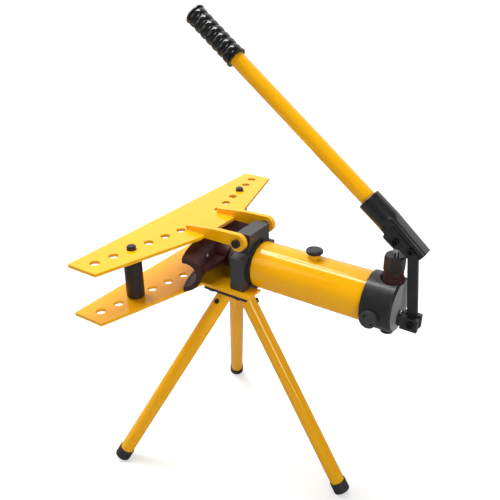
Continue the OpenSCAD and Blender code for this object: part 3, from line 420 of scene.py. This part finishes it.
# Weld beads at the feet of the lugs, and round the filler neck
LUG_SIDES, LUG_LENGTH = (43.6, 54.4), (-93.0, -59.5)  # places and ends of the beads along a lug
LUG_FRONT_X, LUG_ENDS = -95.6, (44.5, 53.5)  # place and ends of the bead across its front
NECK_R, NECK_STEPS = 10.9, 44
LUG_BEAD, NECK_BEAD = 0.0034, 0.0030  # widths of the beads, in m
welds = []
for side in (-1, 1):
    for y in LUG_SIDES:
        welds.append(bead(straight(*[bench(x, side * y, UPPER_WING_TOP) for x in LUG_LENGTH]), LUG_BEAD))
    welds.append(bead(straight(*[bench(LUG_FRONT_X, side * y, UPPER_WING_TOP) for y in LUG_ENDS]), LUG_BEAD))
points, faces = join(welds)
piece("lug_welds", points, faces, "upper_wing", yellow)

neck = []
for k in range(NECK_STEPS + 1):
    a = 2 * pi * k / NECK_STEPS
    y = NECK_R * sin(a)
    neck.append(bench(FILLER_X + NECK_R * cos(a), y, sqrt(TANK_R ** 2 - y * y) + 0.2))
points, faces = bead(neck, NECK_BEAD)
piece("neck_weld", points, faces, "frame", yellow)

# Finger ribs round the filler cap
CAP_RIBS, CAP_R = 30, 0.01480  # number of ribs, and the cap's radius in m
ribs = []
for k in range(CAP_RIBS):
    a = 2 * pi * k / CAP_RIBS
    out = Vector((cos(a), sin(a), 0))
    along = Vector((-sin(a), cos(a), 0))
    rings = []
    for z, depth in ((55.2, 0.1), (55.8, 0.55), (58.2, 0.65), (59.4, 0.1)):
        mid = bench(FILLER_X, 0, z) + out * CAP_R
        rings.append([mid + along * w / 1000 + out * d / 1000
                      for w, d in ((-0.8, 0.0), (-0.35, depth), (0.35, depth), (0.8, 0.0), (0.5, -0.6), (-0.5, -0.6))])
    ribs.append(skin(rings))
points, faces = join(ribs)
piece("cap_ribs", points, faces, "filler_cap", plastic)

# Front bolt ends are painted over with the wing they come up through
ends = nodes["base_bolts"]
ends.data.materials.append(yellow.material)
for face in ends.data.polygons:
    high = (ends.matrix_world @ face.center).z - bench(0, 0, LOWER_WING_TOP).z
    if abs(high) < 0.0004 and face.normal.z > 0.9:
        face.material_index = 1

# Raised rims on the hinge bolts, the pins, the filler cap and the leg screws
RIM_STEPS = 48


def rim(place, s, outer, inner, high):
    """A low turned ring on a round head, so that the head reads as dished."""
    turns = [2 * pi * k / RIM_STEPS for k in range(RIM_STEPS)]
    section = ((s - 0.4, outer), (s + 0.6 * high, outer), (s + high, outer - 0.5), (s + high, inner + 0.5),
               (s + 0.5 * high, inner), (s - 0.4, inner))
    return skin([[place(d, r * cos(t), r * sin(t)) for t in turns] for d, r in section], closed=True)


points, faces = join([rim(lambda d, a, b, k=side: bench(HINGE_X + a, k * d, HINGE_Z + b), 60.8, 7.1, 4.3, 0.9)
                      for side in (-1, 1)])
piece("hinge_bolt_rims", points, faces, "frame", oxide, 28.0)

for name, body in (("clevis_pin", "frame"), ("link_pin", "handle"), ("plunger_pin", "handle")):
    corners = [nodes[name].matrix_world @ Vector(c) for c in nodes[name].bound_box]
    mid = sum(corners, Vector()) / 8
    end = 1000 * max(c.y for c in corners)
    points, faces = join([rim(lambda d, a, b, k=side: Vector((mid.x + a / 1000, k * d / 1000, mid.z + b / 1000)),
                              end, 6.4, 4.7, 0.35) for side in (-1, 1)])
    piece(name + "_rims", points, faces, body, oxide, 28.0)
points, faces = rim(lambda d, a, b: bench(FILLER_X + a, b, d), 60.25, 12.3, 10.6, 0.55)
piece("cap_rim", points, faces, "filler_cap", plastic, 28.0)

# The legs, measured along their axes from the tripod plate
LEG_SPLAY, LEG_TURNS = radians(31.2), (0, 125, -137)  # lean, and compass angles in degrees
LEG_RING, LEG_CENTRE, PLATE_LOW = 4.8, 24.0, -52.7  # where the axes meet the underside of the plate
SCREW_AT, SCREW_TURN = -52.5, radians(45)  # place of a leg's screw along it and round it


def on_leg(turn, x, y, z):
    """A point given along a leg's own axes: x outwards, z up along the leg from the tripod plate."""
    t = radians(turn)
    out = LEG_RING + x * cos(LEG_SPLAY) - z * sin(LEG_SPLAY)
    high = x * sin(LEG_SPLAY) + z * cos(LEG_SPLAY)
    return bench(out * cos(t) - y * sin(t) - LEG_CENTRE, out * sin(t) + y * cos(t), high + PLATE_LOW)


def on_screw(turn, d, a, b):
    """A point at a leg's screw: d from the leg's axis, a round it and b up along it."""
    return on_leg(turn, d * cos(SCREW_TURN) - a * sin(SCREW_TURN), d * sin(SCREW_TURN) + a * cos(SCREW_TURN),
                  SCREW_AT + b)


points, faces = join([rim(lambda d, a, b, k=turn: on_screw(k, d, a, b), 17.95, 4.6, 2.4, 0.5)
                      for turn in LEG_TURNS])
piece("leg_screw_rims", points, faces, "frame", oxide, 28.0)

# Socket screws in the rim of the former, and the stud's lock screw on the clevis nut
FORMER_SCREW_Y, FORMER_SCREW_Z = 52.0, 14.0
STUD_X, STUD_Y = 312.0, -4.0
screws = []
for side in (-1, 1):
    screws.append(lathe([(-64.0, 3.95), (-54.1, 3.95), (-53.2, 3.4), (-53.1, 2.1), (-54.4, 1.9), (-54.4, 0.2)],
                        lambda d, a, b, k=side: bench(d, FORMER_SCREW_Y * k + a, FORMER_SCREW_Z + b), 32))
points, faces = join(screws)
piece("former_screws", points, faces, "ram", bright, 28.0)
points, faces = lathe([(-12.0, 2.3), (-6.9, 2.3), (-6.0, 1.7), (-5.9, 1.1), (-6.9, 1.0), (-6.9, 0.2)],
                      lambda d, a, b: bench(STUD_X + a, STUD_Y + b, d), 28)
piece("stud_lock_screw", points, faces, "frame", bright, 28.0)

# Return spring: a wound coil fixed on the frame over the length of the spring it replaces; the real spring is squeezed
# towards the rod guide as the ram goes out, this coil keeps its length
corners = [nodes["return_spring"].matrix_world @ Vector(c) for c in nodes["return_spring"].bound_box]
near, far = min(c.x for c in corners), max(c.x for c in corners)
TURNS, STEPS, SIDES = 12, 28, 10  # turns of the coil, steps in a turn and sides of the wire
WIRE_R, COIL_R, RAM_STROKE = 0.002, 0.022, 0.130  # in m
rings = []
for k in range(TURNS * STEPS + 1):
    turn = 2 * pi * k / STEPS
    x = near + WIRE_R + (far - near - 2 * WIRE_R) * k / (TURNS * STEPS)
    ring = []
    for t in [2 * pi * i / SIDES for i in range(SIDES)]:
        r = COIL_R + WIRE_R * cos(t)
        ring.append(Vector((x + WIRE_R * sin(t), r * cos(turn), AXIS_H / 1000 + r * sin(turn))))
    rings.append(ring)
points, faces = skin(rings)
coil = piece("return_coil", points, faces, "frame", bright)
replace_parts(coil, "return_spring")
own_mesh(coil)

# Floor, world, lights and camera
floor_mesh = bpy.data.meshes.new("floor")
FLOOR_HALF = 30
floor_mesh.from_pydata([(a * FLOOR_HALF, b * FLOOR_HALF, 0) for a, b in ((-1, -1), (1, -1), (1, 1), (-1, 1))], [],
                       [(0, 1, 2, 3)])
floor = bpy.data.objects.new("floor", floor_mesh)
bpy.context.scene.collection.objects.link(floor)
paper = bpy.data.materials.new("floor_paper")
paper.use_nodes = True
tree = paper.node_tree
rays = tree.nodes.new("ShaderNodeLightPath")
place = tree.nodes.new("ShaderNodeTexCoord")
distance = tree.nodes.new("ShaderNodeVectorMath")
distance.operation = "LENGTH"
tree.links.new(place.outputs["Object"], distance.inputs[0])
lift = tree.nodes.new("ShaderNodeMapRange")
lift.inputs["From Min"].default_value = 0.5
lift.inputs["From Max"].default_value = 3.0
lift.inputs["To Min"].default_value = 0.50
lift.inputs["To Max"].default_value = 0.85
tree.links.new(distance.outputs["Value"], lift.inputs["Value"])
glow = tree.nodes.new("ShaderNodeMath")
glow.operation = "MULTIPLY"
tree.links.new(rays.outputs["Is Camera Ray"], glow.inputs[0])
tree.links.new(lift.outputs["Result"], glow.inputs[1])
sheet = tree.nodes["Principled BSDF"]
shade = tree.nodes.new("ShaderNodeMix")
shade.data_type = "RGBA"
shade.inputs["A"].default_value = (0.60, 0.60, 0.60, 1.0)
shade.inputs["B"].default_value = (0.24, 0.24, 0.24, 1.0)
tree.links.new(rays.outputs["Is Glossy Ray"], shade.inputs["Factor"])
tree.links.new(shade.outputs["Result"], sheet.inputs["Base Color"])
sheet.inputs["Roughness"].default_value = 0.9
sheet.inputs["Specular IOR Level"].default_value = 0.1
sheet.inputs["Emission Color"].default_value = (1.0, 1.0, 1.0, 1.0)
tree.links.new(glow.outputs["Value"], sheet.inputs["Emission Strength"])
floor_mesh.materials.append(paper)

world = bpy.data.worlds.new("studio")
bpy.context.scene.world = world
world.use_nodes = True
tree = world.node_tree
rays = tree.nodes.new("ShaderNodeLightPath")
# A white backdrop behind the machine, and a dim room on the side of the camera
place = tree.nodes.new("ShaderNodeTexCoord")
behind = tree.nodes.new("ShaderNodeVectorMath")
behind.operation = "DOT_PRODUCT"
behind.inputs[1].default_value = (-0.546, 0.838, 0.0)
tree.links.new(place.outputs["Generated"], behind.inputs[0])
room = tree.nodes.new("ShaderNodeMapRange")
room.interpolation_type = "SMOOTHSTEP"
room.inputs["From Min"].default_value = -0.15
room.inputs["From Max"].default_value = 0.55
room.inputs["To Min"].default_value = 0.14
room.inputs["To Max"].default_value = 0.95
tree.links.new(behind.outputs["Value"], room.inputs["Value"])
level = tree.nodes.new("ShaderNodeMix")
level.inputs["B"].default_value = 1.05
tree.links.new(rays.outputs["Is Camera Ray"], level.inputs["Factor"])
tree.links.new(room.outputs["Result"], level.inputs["A"])
tree.links.new(level.outputs["Result"], tree.nodes["Background"].inputs["Strength"])
tree.nodes["Background"].inputs["Color"].default_value = (1.0, 1.0, 1.0, 1.0)


def softbox(name, at, aim, width, height, watts):
    lamp = bpy.data.lights.new(name, "AREA")
    lamp.shape = "RECTANGLE"
    lamp.size, lamp.size_y, lamp.energy = width, height, watts
    obj = bpy.data.objects.new(name, lamp)
    obj.location = at
    obj.rotation_euler = (Vector(aim) - Vector(at)).to_track_quat("-Z", "Y").to_euler()
    bpy.context.scene.collection.objects.link(obj)


softbox("top", (-1.0, 0.05, 2.9), (0.1, 0.05, 0.5), 0.9, 3.4, 100)
softbox("key", (-1.7, -1.5, 1.9), (0, 0, 0.5), 1.6, 1.6, 7)
softbox("fill", (2.0, -1.4, 1.2), (0, 0, 0.5), 1.0, 1.6, 26)

camera = bpy.data.objects.new("camera", bpy.data.cameras.new("camera"))
camera.data.lens = 43.54
camera.data.sensor_width = 36.0
camera.matrix_world = Matrix((
    (0.8379, -0.2456, 0.4874, 0.51090),
    (0.5458, 0.3771, -0.7483, -0.86001),
    (0.0, 0.8930, 0.4500, 1.01881),
    (0.0, 0.0, 0.0, 1.0),
))
bpy.context.scene.collection.objects.link(camera)
bpy.context.scene.camera = camera
bpy.context.scene.view_settings.view_transform = "Standard"
